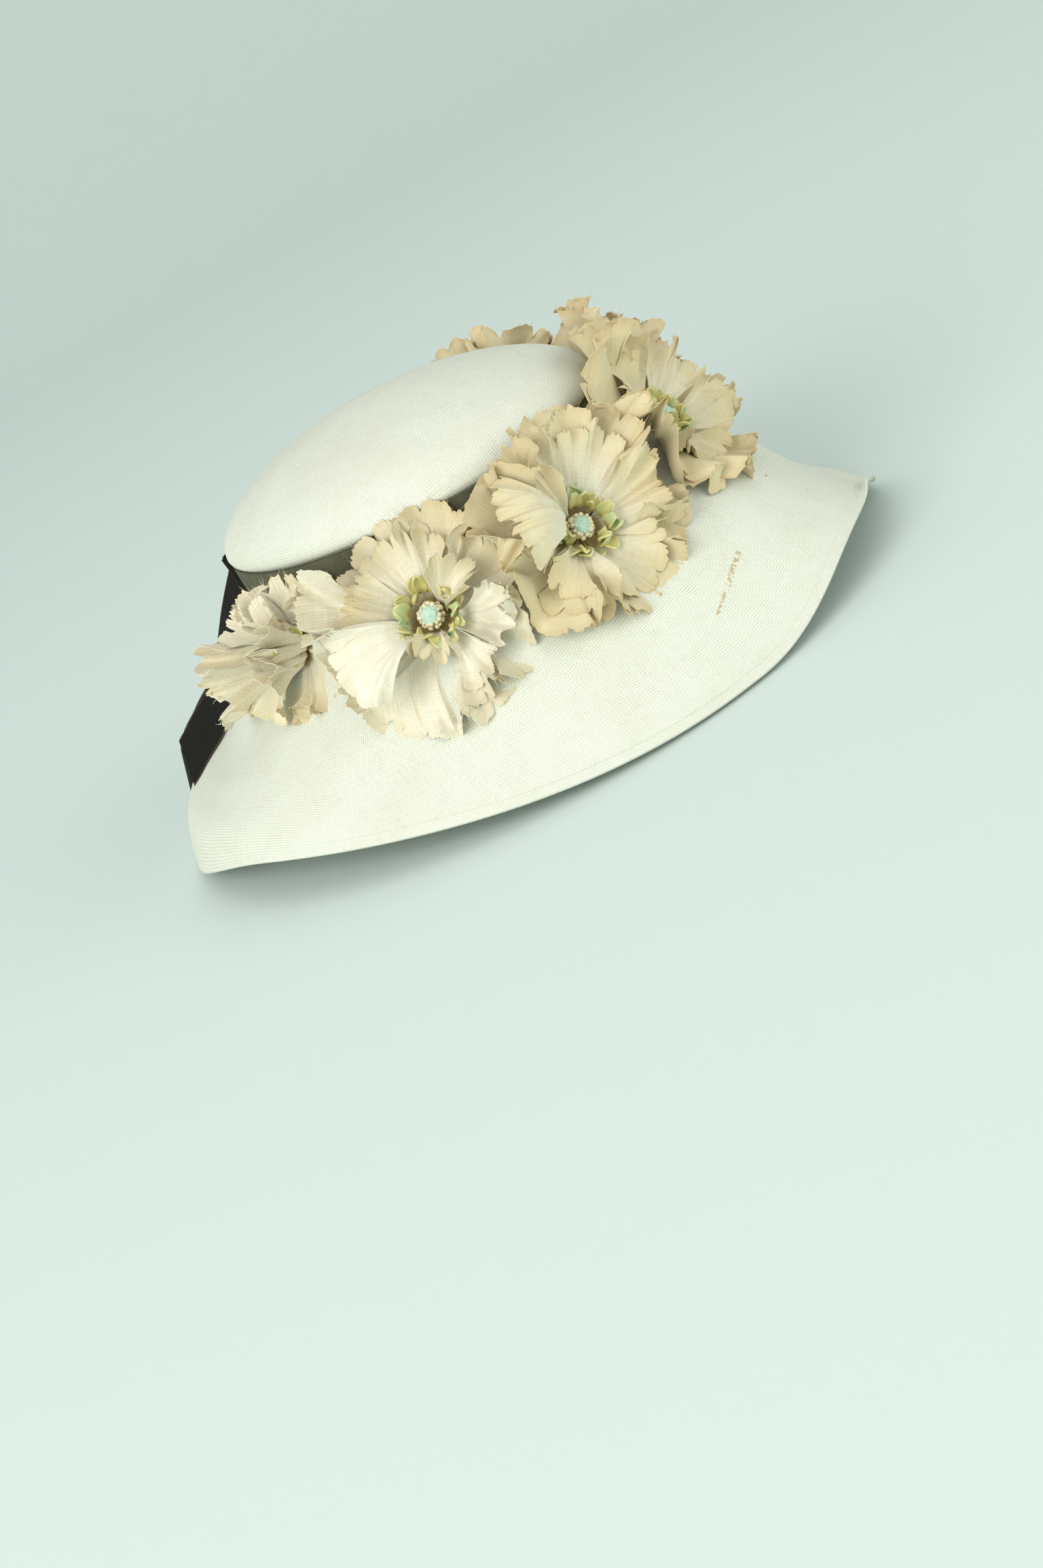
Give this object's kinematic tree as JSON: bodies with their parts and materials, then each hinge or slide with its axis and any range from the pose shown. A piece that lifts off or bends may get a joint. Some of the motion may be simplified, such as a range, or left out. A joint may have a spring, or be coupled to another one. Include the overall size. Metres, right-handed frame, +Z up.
{
  "type": "tilt hat",
  "caption": "Woven straw tilt hat with a shallow oval crown, a drooping brim, a ribbon band with tails at the back and cloth flowers sewn round the crown.",
  "frame": {"origin": "middle of the bounding box's bottom, on the surface that the rim lies on", "axes": "+Z up through the crown, -Y towards the wearer's front, -X towards the wearer's right"},
  "size_m": [0.3354, 0.3599, 0.1519],
  "materials": {
    "straw": "matt woven straw, ivory",
    "ribbon": "ribbed grosgrain, nearly black olive",
    "petal_cloth": "starched cotton, cream, frayed",
    "stamens": "folded cloth leaves, yellow green",
    "button": "flocked, pale blue green"
  },
  "bodies": {
    "root": {"crown": "straw", "brim": "straw", "ribbon_band": "ribbon", "ribbon_knot": "ribbon", "ribbon_tail_upper": "ribbon", "ribbon_tail_middle": "ribbon", "ribbon_tail_lower": "ribbon", "flower_a_outer_petals": "petal_cloth", "flower_a_inner_petals": "petal_cloth", "flower_a_stamens": "stamens", "flower_a_button": "button", "flower_b_outer_petals": "petal_cloth", "flower_b_inner_petals": "petal_cloth", "flower_b_stamens": "stamens", "flower_b_button": "button", "flower_c_outer_petals": "petal_cloth", "flower_c_inner_petals": "petal_cloth", "flower_c_stamens": "stamens", "flower_c_button": "button", "flower_d_outer_petals": "petal_cloth", "flower_d_inner_petals": "petal_cloth", "flower_d_stamens": "stamens", "flower_d_button": "button", "flower_e_outer_petals": "petal_cloth", "flower_e_inner_petals": "petal_cloth", "flower_e_stamens": "stamens", "flower_e_button": "button", "flower_f_outer_petals": "petal_cloth", "flower_f_inner_petals": "petal_cloth", "flower_f_stamens": "stamens", "flower_f_button": "button"}
  },
  "joints": []
}
